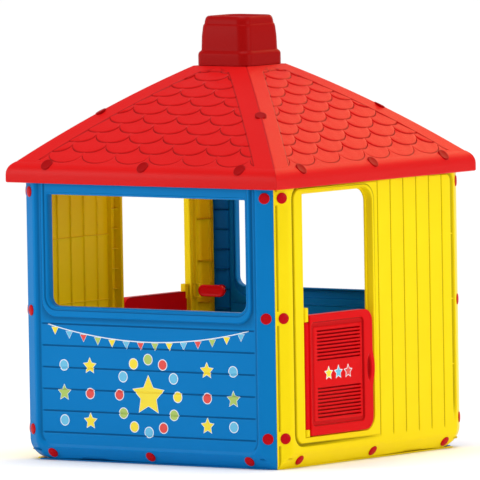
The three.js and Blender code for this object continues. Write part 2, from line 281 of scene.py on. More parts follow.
def plastic(name, color, roughness=0.34, grain=0.02, grain_size=260, shade=0.05, worn=0.03,
            shine=0.05):
    """Moulded plastic: flow marks, a fine grain, uneven gloss and painted shade that darkens the
    creases.
    """
    material = bpy.data.materials.new(name)
    material.use_nodes = True
    nodes = material.node_tree.nodes
    links = material.node_tree.links
    shader = nodes["Principled BSDF"]
    shader.inputs["Specular IOR Level"].default_value = shine
    place = nodes.new("ShaderNodeTexCoord")
    flow = nodes.new("ShaderNodeTexNoise")
    flow.inputs["Scale"].default_value = 5
    flow.inputs["Detail"].default_value = 4
    links.new(place.outputs["Object"], flow.inputs["Vector"])
    tint = nodes.new("ShaderNodeMix")
    tint.data_type = "RGBA"
    tint.inputs["A"].default_value = (*[c * (1 - shade) for c in color], 1)
    tint.inputs["B"].default_value = (*[min(c * (1 + shade) + 0.002, 1) for c in color], 1)
    links.new(flow.outputs["Fac"], tint.inputs["Factor"])
    # Painted shade: the crease attribute mixes the colour towards the dark crease tone.
    crease = nodes.new("ShaderNodeAttribute")
    crease.attribute_name = "crease"
    painted_shade = nodes.new("ShaderNodeMix")
    painted_shade.data_type = "RGBA"
    painted_shade.inputs["B"].default_value = (*[c * PAINTED_SHADE_TONE for c in color], 1)
    links.new(crease.outputs["Fac"], painted_shade.inputs["Factor"])
    links.new(tint.outputs["Result"], painted_shade.inputs["A"])
    links.new(painted_shade.outputs["Result"], shader.inputs["Base Color"])
    gloss = nodes.new("ShaderNodeMapRange")
    gloss.inputs["To Min"].default_value = roughness - worn
    gloss.inputs["To Max"].default_value = roughness + worn
    links.new(flow.outputs["Fac"], gloss.inputs["Value"])
    links.new(gloss.outputs["Result"], shader.inputs["Roughness"])
    fine = nodes.new("ShaderNodeTexNoise")
    fine.inputs["Scale"].default_value = grain_size
    fine.inputs["Detail"].default_value = 3
    links.new(place.outputs["Object"], fine.inputs["Vector"])
    bump = nodes.new("ShaderNodeBump")
    bump.inputs["Strength"].default_value = grain * 5
    bump.inputs["Distance"].default_value = 0.0008
    links.new(fine.outputs["Fac"], bump.inputs["Height"])
    links.new(bump.outputs["Normal"], shader.inputs["Normal"])
    return material


BLUE = plastic("blue_plastic", (0.001, 0.185, 0.500))
YELLOW = plastic("yellow_plastic", (0.880, 0.680, 0.003))
RED = plastic("red_plastic", (0.660, 0.001, 0.003))
ROOF_RED = plastic("roof_plastic", (0.630, 0.002, 0.002), roughness=0.4, grain=0.16, shine=0.12)
CHIMNEY_RED = plastic("chimney_plastic", (0.340, 0.001, 0.001), roughness=0.4, grain=0.08)
PLUG_RED = plastic("plug_plastic", (0.480, 0.001, 0.006), roughness=0.3)
BOLT_RED = plastic("bolt_plastic", (0.330, 0.001, 0.002), roughness=0.4)
PRINTS = {
    name: plastic("print_" + name, color, roughness=0.45, grain=0.004)
    for name, color in {
        "white": (0.80, 0.86, 0.90),
        "cyan": (0.16, 0.52, 0.75),
        "green": (0.42, 0.56, 0.14),
        "yellow": (0.90, 0.72, 0.06),
        "coral": (0.75, 0.09, 0.08),
    }.items()
}

# ---- wall surfaces ----------------------------------------------------------------------------


def corner_drop(z, radius):
    """How far the corner of the house draws in near the ground."""
    if z >= radius:
        return 0.0
    fall = min(radius - z, radius)
    return (radius - math.sqrt(radius * radius - fall * fall)) * 0.75


def wall_face(x, z, round_left, round_right):
    """Distance of a wall's plain surface from the house centre: flat, with tilted borders."""
    radius = round_left if x < 0 else round_right
    corner = CORNER - corner_drop(z, radius)
    slope = (WALL - CORNER) / (CORNER - BEND)
    side = corner + (corner - abs(x)) * slope
    floor = WALL - 31 + 31 * z / CREST
    return soft_min(soft_min(WALL, side, 5), floor, 5)


def wall_end(z, sign, round_left, round_right):
    """Where the surface meets the next wall, on the diagonal of the house."""
    x = CORNER
    for _ in range(12):
        x = (x + wall_face(sign * x, z, round_left, round_right)) / 2
        x = min(x, CORNER)
    return sign * (x - 0.3)


def groove(offset, half, depth):
    return depth * (1 - smooth(half * 0.35, half, abs(offset)))


def plank_rows():
    return [ROW_FOOT + PLANK * k for k in range(6)]


def plank_columns():
    return [COLUMN_LEFT + PLANK * k for k in range(6)]


def window_relief(x, z):
    """A window wall's surface and the painted shade in its creases: (distance out, crease)."""
    depth = wall_face(x, z, ROUND, SQUARE)
    field = rounded_distance(x, z, (-FIELD_HALF, FIELD_HALF, FIELD_LOW, 1000), FIELD_RADIUS)
    cut = FIELD_DEPTH * (1 - smooth(0, 13, field))
    frame_edge = rounded_distance(x, z, (*FRAME, 1100), FRAME_RADIUS)
    raised = 1 - smooth(-5, 0, frame_edge)
    opening = rounded_distance(x, z, (*WINDOW[:3], 1100), WINDOW_RADIUS)
    step = FRAME_STEP * (1 - smooth(11, 15, opening))
    mask = smooth(-4, 2, frame_edge) * (1 - smooth(-10, -4, field))
    line = max(groove(z - row, 3.0, 1.0) for row in plank_rows()) * mask
    # Painted shade only, with no groove cut: dark lines at the frame's foot, the field's edge and round
    # the opening.
    foot = groove(frame_edge - 1, 4, 0.45) + groove(field - 1, 5, 0.4) * (z > CREST + 14)
    foot = max(foot, groove(opening - 12, 2.6, 0.5))
    depth += raised * (FIELD_DEPTH - step) * (1 - smooth(0, 13, field)) - cut - 3.4 * line
    # The crease value is painted shade, in the plank grooves and along those lines.
    return depth, max(0.55 * line, min(foot, 0.5))


def window_face(x, z):
    """Front surface of a window wall: recessed plank field, raised frame round the window."""
    return window_relief(x, z)[0]


def plug_pad(x, z):
    """A low round seat under each screw plug."""
    near = min(math.hypot(x - a, z - b) for a, b in plug_spots())
    return 0.8 * (1 - smooth(PLUG_R + 1, PLUG_R + 3.5, near))


RING = (-410, 900, 70, 858)  # the groove round the doorway's frame
RING_RADIUS = 36
RIM = (DOORWAY[0] - 200, *DOORWAY[1:])  # the doorway, followed on its free side only
RIM_RADIUS = 42
SIDE_GROOVE = (-900, 417, -900, 862)  # the groove beside the planks, under the eave
SIDE_RADIUS = 30


def door_relief(x, z):
    """A door wall's surface and the painted shade in its creases: (distance out, crease)."""
    fade = 1 - smooth(-70, -5, x)
    ring = groove(rounded_distance(x, z, RING, RING_RADIUS), 7.0, 1.0) * fade
    rim = groove(rounded_distance(x, z, RIM, RIM_RADIUS) - 9, 2.6, 0.6)
    rim *= smooth(-160, -120, x) * smooth(440, 470, z)
    edge = groove(rounded_distance(x, z, SIDE_GROOVE, SIDE_RADIUS), 9.5, 1.0)
    edge *= smooth(85, 150, z) * smooth(330, 345, x)
    line = max(groove(x - column, 2.8, 1.0) for column in plank_columns()) * smooth(66, 80, z)
    open_rows = min(abs(z - row) for row in PLUG_ROWS)
    lip = groove(abs(x) - LIP_X, 3.5, 1.0) * smooth(20, 24, open_rows) if x < 0 else 0.0
    depth = wall_face(x, z, SQUARE, ROUND) - 9 * ring - 8 * edge - 5.5 * line - 6 * lip - 4 * rim
    # The crease value is painted shade in these grooves.
    return depth, max(0.75 * ring, 0.5 * edge, 0.75 * line, 0.6 * lip, rim)


def door_face(x, z):
    """Front surface of a door wall: upright planks, a groove round the doorway's frame."""
    return door_relief(x, z)[0]


def wall_outline(round_left, round_right):
    heights = [0, 3, 7, 12, 18, 25, 33, 42, 52, 62, 75, 120, 400, WALL_TOP]
    right = [(wall_end(z, 1, round_left, round_right), z) for z in heights]
    left = [(wall_end(z, -1, round_left, round_right), z) for z in reversed(heights)]
    return right + left


def straight(x0, z0, x1, z1, pieces=1):
    return [(x0 + (x1 - x0) * i / pieces, z0 + (z1 - z0) * i / pieces) for i in range(pieces + 1)]


def shared_lines():
    """Feature lines that all walls have: the bends of the borders and the plug seats."""
    lines = []
    for offset in (-7, -4.5, -2, 0, 2, 4.5, 7):
        for sign in (-1, 1):
            lines.append(straight(sign * (BEND + offset), -5, sign * (BEND + offset), WALL_TOP + 5, 60))
        lines.append(straight(-480, CREST + offset, 480, CREST + offset, 80))
    for z in (8, 16, 24, 32, 56, 64, 72):
        lines.append(straight(-480, z, 480, z, 80))
    for sign in (-1, 1):
        for x in (436, 445, 455, 463, 470):
            lines.append(straight(sign * x, -5, sign * x, WALL_TOP + 5, 60))
    for x, z in plug_spots():
        for radius in (PLUG_R + 0.8, PLUG_R + 1.8, PLUG_R + 2.8, PLUG_R + 4):
            lines.append(circle(x, z, radius, 24))
    return lines


def plug_spots():
    spots = [(sign * PLUG_SIDE, row) for row in PLUG_ROWS for sign in (-1, 1)]
    return spots + [(x, PLUG_FLOOR_Z) for x in PLUG_FLOOR]


def circle(x, z, radius, count):
    turns = [2 * math.pi * i / count for i in range(count + 1)]
    return [(x + radius * math.cos(t), z + radius * math.sin(t)) for t in turns]


def open_loop(rect, radii, grow, steps=8):
    loop = rounded_loop(rect, radii, steps, grow)
    return loop + loop[:1]


def skin_point(face, skin):
    """Surface functions of a wall: its outer side and, one plastic thickness behind, its inner."""
    def outer(x, z):
        return on_wall(x, face(x, z) + plug_pad(x, z), z)

    def inner(x, z):
        side = 1 if x > 0 else -1
        return on_wall(x - side * skin * 0.4 * smooth(440, 470, abs(x)), face(x, z) - skin, z)

    return outer, inner


def frame_ring(shell, rect, radii, profile):
    """A flange round an opening; profile pairs are (grow, distance from the house centre)."""
    loops = []
    for grow, depth in profile:
        loops.append([on_wall(x, depth, z) for x, z in rounded_loop(rect, radii, 8, grow)])
    loft(shell, loops, ring=True)


def border_flanges(shell, round_left, round_right, pitch):
    """The edge of the wall turns in at the mitre, with cross ribs in the hollow border."""
    heights = [2, 6, 12, 18, 25, 33, 42, 52, 62, 75, 120, 400, WALL_TOP]
    for sign in (-1, 1):
        outer, inner = [], []
        for z in heights:
            x = wall_end(z, sign, round_left, round_right)
            outer.append((x, -abs(x) - 0.3, z))
            inner.append((x - sign * 24, -abs(x) + 23.7, z))
        back = [(x - sign * 4.5, y, z) for x, y, z in outer]
        back_in = [(x - sign * 4.5, y, z) for x, y, z in inner]
        loft(shell, [outer, inner, back_in, back], closed=False, ring=True)
        for k in range(int(840 / pitch) + 1):
            rib(shell, sign, 30 + pitch * k)


def rib(shell, sign, z):
    """One cross rib in a border's hollow, drawn in plan."""
    plan = [(420, 491), (433, 494), (464, 474), (449, 452), (420, 470)]
    bottom = [(sign * x, -y, z) for x, y in plan]
    top = [(sign * x, -y, z + 3) for x, y in plan]
    loft(shell, [bottom, top] if sign > 0 else [bottom[::-1], top[::-1]], cap=True)


def window_wall(name, turn):
    shell = Shell()
    lines = shared_lines()
    radii = (WINDOW_RADIUS, WINDOW_RADIUS, 3, 3)
    for row in plank_rows():
        for offset in (-5, -3.4, -2.3, -1.2, 1.2, 2.3, 3.4, 5):
            lines.append(straight(-FIELD_HALF - 14, row + offset, FIELD_HALF + 14, row + offset, 40))
    for grow in (-12, -8, -4, -1, 1.5, 4, 6.5, 9, 11.5, 14):
        field = (-FIELD_HALF, FIELD_HALF, FIELD_LOW, 960)
        lines.append(open_loop(field, (FIELD_RADIUS, FIELD_RADIUS, 0, 0), grow))
    for grow in (2, 0, -1.2, -2.5, -3.8, -5, -7):
        lines.append(open_loop((*FRAME, 940), (FRAME_RADIUS, FRAME_RADIUS, 0, 0), grow, 10))
    for grow in (10, 11.5, 13, 14.5, 16):
        lines.append(open_loop((*WINDOW[:3], 930), (*radii[:2], 0, 0), grow, 10))
    hole = rounded_loop(WINDOW, radii, 10, 8)
    region = triangulate(wall_outline(ROUND, SQUARE), [hole], lines)
    outer, inner = skin_point(window_face, SKIN)
    plate(shell, region, outer, inner, lambda x, z: window_relief(x, z)[1])
    edge = WALL - FRAME_STEP
    frame_ring(shell, WINDOW, radii, [
        (8, edge), (5.2, edge - 0.6), (2.6, edge - 2.2), (0.8, edge - 4.6), (0, edge - 8),
        (0, WALL_BACK + 2.5), (0.8, WALL_BACK + 0.8), (2.5, WALL_BACK), (4, WALL_BACK + 0.8),
        (4.5, WALL_BACK + 2.5), (4.5, edge - 8), (7, edge - 4)])
    border_flanges(shell, ROUND, SQUARE, 62)
    rails(shell, WALL - FIELD_DEPTH - SKIN)
    return shell.build(name, BLUE, "house", turn, (name,))


def rails(shell, depth):
    """The turned-in top and bottom edges of a wall."""
    block(shell, (-440, -depth - 1, WALL_TOP - 4), (440, -WALL_BACK, WALL_TOP - 0.2))
    block(shell, (-440, -WALL + 26, 0.4), (440, -WALL_BACK + 10, 4))


def door_wall(name, turn):
    shell = Shell()
    lines = shared_lines()
    for column in plank_columns():
        for offset in (-4.6, -3.2, -2.2, -1.1, 1.1, 2.2, 3.2, 4.6):
            lines.append(straight(column + offset, 58, column + offset, WALL_TOP + 5, 30))
    for grow in (-9, -6.5, -5.2, -3.8, -2.3, 2.3, 3.8, 5.2, 6.5, 9):
        lines.append(open_loop(RING, (RING_RADIUS, 0, 0, RING_RADIUS), grow, 10))
    for grow in (6.5, 7.8, 9, 10.2, 11.5):
        lines.append(open_loop(RIM, (0, RIM_RADIUS, RIM_RADIUS, 0), grow, 10))
    for grow in (-9, -7, -5.6, -4.2, -2.5, 2.5, 4.2, 5.6, 7, 9):
        lines.append(open_loop(SIDE_GROOVE, (0, 0, SIDE_RADIUS, 0), grow, 10))
    for offset in (-4.5, -3.5, -2.5, -1.2, 1.2, 2.5, 3.5, 4.5):
        lines.append(straight(-LIP_X + offset, -5, -LIP_X + offset, WALL_TOP, 80))
    for row in PLUG_ROWS:
        for offset in (-24, -22, -20, 20, 22, 24):
            lines.append(straight(-474, row + offset, -456, row + offset, 6))
    for z in (66, 70, 75, 80, 90, 105, 120, 135, 150):
        lines.append(straight(0, z, 440, z, 40))
    radii = (3, 48, 48, 3)
    hole = rounded_loop(DOORWAY, radii, 10, 3)
    region = triangulate(wall_outline(SQUARE, ROUND), [hole], lines)
    outer, inner = skin_point(door_face, SKIN)
    plate(shell, region, outer, inner, lambda x, z: door_relief(x, z)[1])
    step = DOOR_FACE - 29
    frame_ring(shell, DOORWAY, radii, [
        (3, WALL), (1.5, WALL - 0.4), (0.5, WALL - 1.4), (0, WALL - 3), (0, step + 1),
        (-0.5, step), (-5, step), (-6, step - 1), (-6, WALL_BACK + 2), (-5, WALL_BACK),
        (3, WALL_BACK), (4, WALL_BACK + 2), (4.5, WALL - 4)])
    border_flanges(shell, SQUARE, ROUND, 131)
    doorway_ribs(shell)
    rails(shell, WALL - SKIN)
    return shell.build(name, YELLOW, "house", turn, (name,))


def doorway_ribs(shell):
    """Inside: a flange down each side of the doorway, small cross ribs and two long ribs."""
    right, left = DOORWAY[1], DOORWAY[0]
    block(shell, (right + 37, -WALL + 3, 104), (right + 39, -WALL + 20, 856), 0.6)
    block(shell, (left - 18, -WALL + 3, 104), (left - 16, -WALL + 20, 856), 0.6)
    for k in range(12):
        z = 120 + 62.5 * k
        block(shell, (right + 4, -WALL + 3, z), (right + 38, -WALL + 18, z + 2.4), 0.6)
        z = 141 + 68.5 * min(k, 10)
        block(shell, (left - 17, -WALL + 3, z), (left - 4, -WALL + 18, z + 2.4), 0.6)
    for z in (262, 465, 667):
        block(shell, (right + 38, -WALL + 3, z), (422, -WALL + 9.5, z + 2.4), 0.6)


# ---- screw plugs ------------------------------------------------------------------------------


def revolve(profile, count=32):
    """Loops of a turned shape about Z: profile pairs are (radius, height)."""
    loops = []
    for radius, height in profile:
        turns = [2 * math.pi * i / count for i in range(count)]
        loops.append([(radius * math.cos(t), radius * math.sin(t), height) for t in turns])
    return loops


def seat(face, x, z):
    """Matrix that stands a piece on a wall's surface."""
    here = Vector(on_wall(x, face(x, z), z))
    across = Vector(on_wall(x + 2, face(x + 2, z), z)) - here
    upward = Vector(on_wall(x, face(x, z + 2), z + 2)) - here
    normal = across.cross(upward).normalized()
    across.normalize()
    rotation = Matrix((across, normal.cross(across), normal)).transposed().to_4x4()
    return Matrix.Translation(here) @ rotation


def plug(name, face, x, z, turn):
    """A domed plug with a rim and a shallow dimple."""
    shell = Shell()
    r = PLUG_R
    profile = [(4, -6), (r - 1.6, -6), (r - 0.6, 0.4), (r - 0.1, 1.2), (r, 2.2), (r - 0.4, 3.0),
               (r - 1.4, 3.6), (r - 3, 4.1), (r * 0.6, 4.8), (r * 0.35, 5.15), (r * 0.2, 5.2),
               (r * 0.15, 4.9), (r * 0.05, 4.8)]
    loft(shell, revolve(profile), cap=True)
    matrix = seat(face, x, z)
    shell.verts = [tuple(matrix @ Vector(v)) for v in shell.verts]
    return shell.build(name, PLUG_RED, "house", turn, (name,))


# ---- doors, hinges and latches ----------------------------------------------------------------
DOOR_THICK = 27
GRIP_Z = 284
GRIP_IN = 18  # from the door's edge to the middle of the grip's hollow
GRIP_HALF = (12, 46)
BULGE = 10.4  # how far the grip stands out of the door's edge
SLOT_PITCH = 11
SLOT_GROUPS = (DOOR_LOW + 51.5, DOOR_LOW + 227.5)
SLOTS = 9
SLOT_DROP = 12  # a slot slants down towards the back
PANEL = (DOOR[0] + 9, DOOR[1] - 48, DOOR_LOW + 31, DOOR_HIGH - 25)
LOUVRES = (PANEL[0] + 14, PANEL[1] - 4, PANEL[2] + 12, PANEL[3] - 14)
HINGE_X = DOOR[0] - 10
HINGE_OUT = DOOR_FACE - 12


def door_outline(grow=0.0):
    """Square at the hinge, round at the free side, with the bulge of the finger grip."""
    loop = rounded_loop((*DOOR, DOOR_LOW, DOOR_HIGH), (4, 38, 38, 4), 8, grow)
    edge = DOOR[1] + grow
    bulge = []
    for i in range(17):
        z = GRIP_Z - 60 + 120 * i / 16
        bulge.append((edge + BULGE * smooth(60, 8, abs(z - GRIP_Z)), z))
    at = max(i for i, (x, z) in enumerate(loop) if x > edge - 0.01 and z < GRIP_Z)
    return loop[:at + 1] + bulge + loop[at + 1:]


def door_surface(x, z):
    """Front of the door: a raised frame, a recessed panel and the dimple of the grip."""
    cut = 5 * (1 - smooth(-1, 3.5, rounded_distance(x, z, PANEL, 12)))
    raised = 1.8 * (1 - smooth(-2, 2, rounded_distance(x, z, LOUVRES, 6)))
    return DOOR_FACE - cut + raised - 9 * dimple(x, z)


def dimple(x, z):
    """1 in the middle of the finger grip's oval hollow, 0 outside it."""
    reach = math.hypot((x - DOOR[1] + GRIP_IN) / GRIP_HALF[0], (z - GRIP_Z) / GRIP_HALF[1])
    return 1 - smooth(0.5, 1.0, reach)


# Painted shade: darkening at the panel's edge, round the raised louvre area and in the grip's hollow.
def door_crease(x, z):
    edge = groove(rounded_distance(x, z, PANEL, 12) - 0.5, 3.5, 0.5)
    rim = groove(rounded_distance(x, z, LOUVRES, 6) - 2, 2.5, 0.3)
    return max(edge, rim, 0.55 * dimple(x, z))


def slot_loops(drop=0.0):
    """The louvre slots, in two groups."""
    loops = []
    for low in SLOT_GROUPS:
        for i in range(SLOTS):
            z = low + SLOT_PITCH * i - drop
            loops.append(rounded_loop((-300, -78, z, z + 5.5), (2, 2, 2, 2), 3))
    return loops


def door(side, turn):
    shell = Shell()
    lines = []
    for grow in (-2, 0, 1.2, 2.4, 3.6, 5):
        lines.append(open_loop(PANEL, (12, 12, 12, 12), grow))
    for grow in (-3, -2, -0.7, 0.7, 2, 3):
        lines.append(open_loop(LOUVRES, (6, 6, 6, 6), grow))
    for reach in (0.25, 0.5, 0.6, 0.7, 0.8, 0.9, 1.0, 1.08):
        oval = circle(0, 0, reach, 28)
        lines.append([(DOOR[1] - GRIP_IN + GRIP_HALF[0] * a, GRIP_Z + GRIP_HALF[1] * b)
                      for a, b in oval])
    back = DOOR_FACE - DOOR_THICK
    points, tris = triangulate(door_outline(-2.5), slot_loops(), lines)
    shell.add([on_wall(x, door_surface(x, z), z) for x, z in points], tris,
              crease=[door_crease(x, z) for x, z in points])
    points, tris = triangulate(door_outline(-2.5), slot_loops(SLOT_DROP), [])
    shell.add([on_wall(x, back, z) for x, z in points], tris, flip=True)
    edge = []
    for grow, depth in ((-2.5, DOOR_FACE), (-1.2, DOOR_FACE - 0.3), (-0.4, DOOR_FACE - 1.2),
                        (0, DOOR_FACE - 2.6), (0, DOOR_FACE - 4.8), (-0.5, DOOR_FACE - 5.4)):
        edge.append([on_wall(x, depth, z) for x, z in door_outline(grow)])
    plain = []
    for x, z in door_outline(-0.5):
        plain.append((min(x, DOOR[1] - 0.5), z))
    for inset, depth in ((0, DOOR_FACE - 5.5), (0, back + 2), (0.6, back + 0.6), (2, back)):
        edge.append([on_wall(shrink(x, inset), depth, z) for x, z in plain])
    loft(shell, edge[::-1])
    for loop in slot_loops():
        front = [on_wall(x, door_surface(x, z), z) for x, z in loop]
        tail = [on_wall(x, back, z - SLOT_DROP) for x, z in loop]
        loft(shell, [tail, front][::-1])
    knuckle(shell)
    name = "door_" + side
    return shell.build(name, RED, name, turn, (name,))


def shrink(x, inset):
    middle = sum(DOOR) / 2
    return x - math.copysign(inset, x - middle)


def knuckle(shell):
    """The rounded hinge barrel on the door's edge, with a stub pin at each end."""
    middle = 279.5
    profile = [(0.5, -176), (4.2, -176), (5, -175), (5, -164.5), (7, -164), (8, -163),
               (8, 161), (7.2, 162), (5, 162.4), (5, 174), (4.2, 175), (0.5, 175)]
    loops = []
    for loop in revolve(profile, 24):
        loops.append([(x + HINGE_X, y - HINGE_OUT, z + middle) for x, y, z in loop])
    loft(shell, loops, cap=True)
    block(shell, (HINGE_X, -HINGE_OUT - 7.4, 117), (DOOR[0] + 5, -HINGE_OUT + 7.4, 440), 1)


def hinge_block(name, turn, low, high):
    """A yellow hinge block: a rounded body, a raised front strap and a notch beside the jamb."""
    shell = Shell()
    x0, x1 = DOORWAY[0] + 0.4, DOOR[0] - 0.8
    out = HINGE_OUT + 9
    block(shell, (x0 + 2.5, -out + 1.5, low), (x1, -out + 21.5, high), 1.6)
    block(shell, (x0, -out + 8, low + 2), (x0 + 6, -out + 20, high - 2), 1)
    block(shell, (x0 + 5, -out + 0.2, low + 2.5), (x1 - 3.5, -out + 4, high - 2.5), 1)
    for t in (0.25, 0.75):
        z = low + (high - low) * t
        block(shell, (x0 + 4, -out + 20, z - 1.2), (x1 - 1, -out + 22, z + 1.2), 0.5)
    return shell.build(name, YELLOW, "house", turn, (name,))


LATCH_X = -378
LATCH_OUT = 451
LATCH_Z = (447.5, 484.5)
LATCH_MIDDLE = sum(LATCH_Z) / 2


def latch_socket(name, turn):
    """The socket for the lever: a back plate with a square window, two ears and a pin."""
    shell = Shell()
    back = -WALL_BACK + 0.4
    x0, x1 = LATCH_X - 15.8, LATCH_X + 15.8
    block(shell, (x0, back, 444.2), (x1, back + 3.6, 487.8), 1)
    for low, high in ((444.1, 447), (485, 487.9)):
        block(shell, (LATCH_X - 6.8, back + 1, low), (LATCH_X + 6.8, -444.2, high), 0.8)
    for x in (x0, x1 - 3):
        block(shell, (x, back, 444.2), (x + 3, back + 5.5, 487.8), 0.8)
    for low, high in ((444.2, 448), (484, 487.8)):
        block(shell, (x0, back, low), (x1, back + 5.5, high), 0.8)
    pin = revolve([(0.5, -21), (4.9, -21), (4.9, 21), (0.5, 21)], 20)
    loops = [[(x + LATCH_X, y - LATCH_OUT, z + LATCH_MIDDLE) for x, y, z in loop]
             for loop in pin]
    loft(shell, loops, cap=True)
    return shell.build(name, YELLOW, "house", turn, (name,))


def latch_lever(name, body, turn):
    """A flat capsule-shaped paddle with soft edges and a shallow thumb recess on both sides."""
    shell = Shell()
    low, high = LATCH_Z
    rect = (-457, -357.2, low, high)
    radius = (high - low) / 2 - 0.2
    loops = []
    for grow, x in ((-30, -4.6), (-9, -4.6), (-7, -4.8), (-5, -5.9), (-2, -5.8), (-0.6, -5.2),
                    (0, -3.6), (0, 3.6), (-0.6, 5.2), (-2, 5.8), (-5, 5.9), (-7, 4.8),
                    (-9, 4.6), (-30, 4.6)):
        grow = max(grow, -radius + 1)
        loop = rounded_loop(rect, (radius,) * 4, 10, grow)
        loops.append([(LATCH_X + x, y, z) for y, z in loop])
    loft(shell, loops[::-1], cap=True)
    return shell.build(name, RED, body, turn, (name,))


# ---- roof -------------------------------------------------------------------------------------
TURN = EAVE - 23  # half width where the slope starts
TOP_HALF = 104
SLOPE = 0.575  # fall for each millimetre outward at the top
DOME = 0.00037  # how fast the slope steepens
ROOF_SKIN = 9
BAND = 72  # smooth band beside each hip
TILE = 129
ROW = 36
TILE_RISE = 29  # how far a tile's round end hangs below its corners
FIELD_FOOT = 493
FIELD_HEAD = 124
FIELD_DROP = 3.4
ROOF_PLUG_R = 505
HIP_BOLT_R = 308


def slope_z(r):
    """Height of the slope: slightly domed, steeper towards the eave."""
    run = r - TOP_HALF
    return PLATEAU_Z - SLOPE * run - DOME * run * run


def slope_angle(r):
    return math.atan(SLOPE + 2 * DOME * (r - TOP_HALF))


def scallop(x, row):
    """Distance from the house centre of a tile row's lower edge."""
    shift = 0.5 * ((row + 1) % 2)
    t = (x / TILE + shift + 0.5) % 1.0 - 0.5
    return FIELD_FOOT - TILE_RISE - ROW * row + TILE_RISE * math.sqrt(max(1 - 4 * t * t, 0.0))


TILE_ROWS = int((FIELD_FOOT - FIELD_HEAD) / ROW) + 2


def tile_field(x, r):
    """Signed distance to the edge of the tiled field, negative inside."""
    hip = (abs(x) - (r - BAND)) * 0.7071
    return -soft_min(-hip, r - FIELD_HEAD, 14)


def roof_relief(x, r):
    """How far a roof panel drops below its smooth slope, and the painted shade there."""
    # The hip seam is a shallow dip with painted shade along it.
    seam = 1 - smooth(0.5, 3.5, r - abs(x))
    field = tile_field(x, r)
    mask = 1 - smooth(-3, 0, field)
    if mask <= 0:
        return 1.2 * seam, 0.3 * seam
    edges = [scallop(x, row) for row in range(TILE_ROWS)]
    below = [r - edge for edge in edges if edge < r]
    above = [edge - r for edge in edges if edge >= r]
    line = 1 - smooth(1.4, 3.4, min(below)) if below else 0.0
    run = min(min(above) / ROW, 1.0) if above else 0.0
    drop = FIELD_DROP * run if above else 0.0
    # Painted shade only, with no groove cut: a dark line just inside the edge of the tiled field.
    rim = groove(field + 2.4, 2.6, 0.45)
    return mask * (drop + 3.2 * line), max(0.62 * line * mask, rim if above else 0.0)


def roof_height(x, r):
    """Height of a roof panel: smooth bands, and scalloped tiles in the recessed field."""
    return slope_z(r) - roof_relief(x, r)[0]


def roof_lines():
    lines = []
    for row in range(TILE_ROWS):
        xs = []
        for k in range(-8, 9):
            if (k + row) % 2:
                xs += [k / 2 * TILE - TILE / 2 * math.cos(math.pi * i / 20) for i in range(20)]
        for offset in (-0.6, 0.05, 1.4, 2.4, 3.4):
            lines.append([(x, scallop(x, row) + offset) for x in xs])
    for grow in (-5, -3.6, -2.4, -1.2, 0):
        g = grow * 1.414
        head = FIELD_HEAD - grow
        edge = [(sign * (r - BAND + g), r) for sign, r in
                [(-1, TURN), (-1, 400), (-1, 300), (-1, 200), (-1, head + 3), (1, head + 3),
                 (1, 200), (1, 300), (1, 400), (1, TURN)]]
        lines.append(edge)
    for inset in (1.5, 2.5, 4.5):
        for sign in (-1, 1):
            lines.append(straight(sign * (60 - inset), 60, sign * (TURN - inset), TURN, 30))
    for k in range(1, 12):
        r = TOP_HALF + (TURN - TOP_HALF) * k / 12
        for sign in (-1, 1):
            lines.append(straight(sign * (r - BAND + 2), r, sign * r, r, 2))
    return lines


def roof_panel(name, turn):
    shell = Shell()
    steps = [TURN + (TOP_HALF - TURN) * k / 24 for k in range(25)]
    outline = [(-r + 0.4, r) for r in steps] + [(r - 0.4, r) for r in reversed(steps)]
    points, tris = triangulate(outline, [], roof_lines())
    shell.add([(x, -r, roof_height(x, r)) for x, r in points], tris,
              crease=[roof_relief(x, r)[1] for x, r in points])
    shell.add([(x, -r, slope_z(r) - ROOF_SKIN) for x, r in points], tris, flip=True)
    low = slope_z(TURN)
    nose = [(TURN, low), (502, low - 3.4), (508, low - 8.4), (513, low - 14.6), (516.6, low - 22),
            (519, low - 30), (519.8, low - 40), (519.8, EAVE_LOW + 5), (519, EAVE_LOW + 2.4),
            (517, EAVE_LOW + 0.5), (515, EAVE_LOW + 0.2), (514, EAVE_LOW + 2),
            (514, WALL_TOP + 0.5), (462, WALL_TOP + 0.5), (462, slope_z(462) - ROOF_SKIN),
            (TURN, low - ROOF_SKIN)]
    eave_strip(shell, nose)
    top = [(TOP_HALF, PLATEAU_Z), (100, PLATEAU_Z), (70.2, PLATEAU_Z), (70.2, PLATEAU_Z - 3.8),
           (TOP_HALF, PLATEAU_Z - ROOF_SKIN)]
    eave_strip(shell, top)
    return shell.build(name, ROOF_RED, "house", turn, (name,))


def eave_strip(shell, profile):
    """A profile run along the wall between the two hips."""
    left = [(-r + 0.4, -r, z) for r, z in profile]
    right = [(r - 0.4, -r, z) for r, z in profile]
    loops = []
    for i in range(9):
        t = i / 8
        loops.append([tuple(a + (b - a) * t for a, b in zip(p, q)) for p, q in zip(left, right)])
    loft(shell, loops[::-1], closed=False)


def roof_plugs(turn, side):
    """The bolt heads on the eave's bend, with two small moulding marks between them."""
    shell = Shell()
    low = slope_z(TURN)
    head = [(3, -5), (19, -5), (20, -0.4), (19.8, 1.0), (18.6, 2.0), (15.4, 2.5), (14.6, 1.7),
            (5, 1.5), (0.5, 1.5)]
    mark = [(1, -3), (3.4, -3), (3.4, 0.6), (2.8, 1.0), (0.4, 1.0)]
    spots = [(x, ROOF_PLUG_R, low - 6.2, 48, head) for x in (-370, 0, 370)]
    spots += [(x, 516.4, low - 30, 76, mark) for x in (-180, 180)]
    for x, r, z, lean, profile in spots:
        place = Matrix.Translation((x, -r, z)) @ Matrix.Rotation(math.radians(lean), 4, "X")
        loops = [[tuple(place @ Vector(p)) for p in loop] for loop in revolve(profile)]
        loft(shell, loops, cap=True)
    return shell.build("roof_bolts_" + side, BOLT_RED, "house", turn)


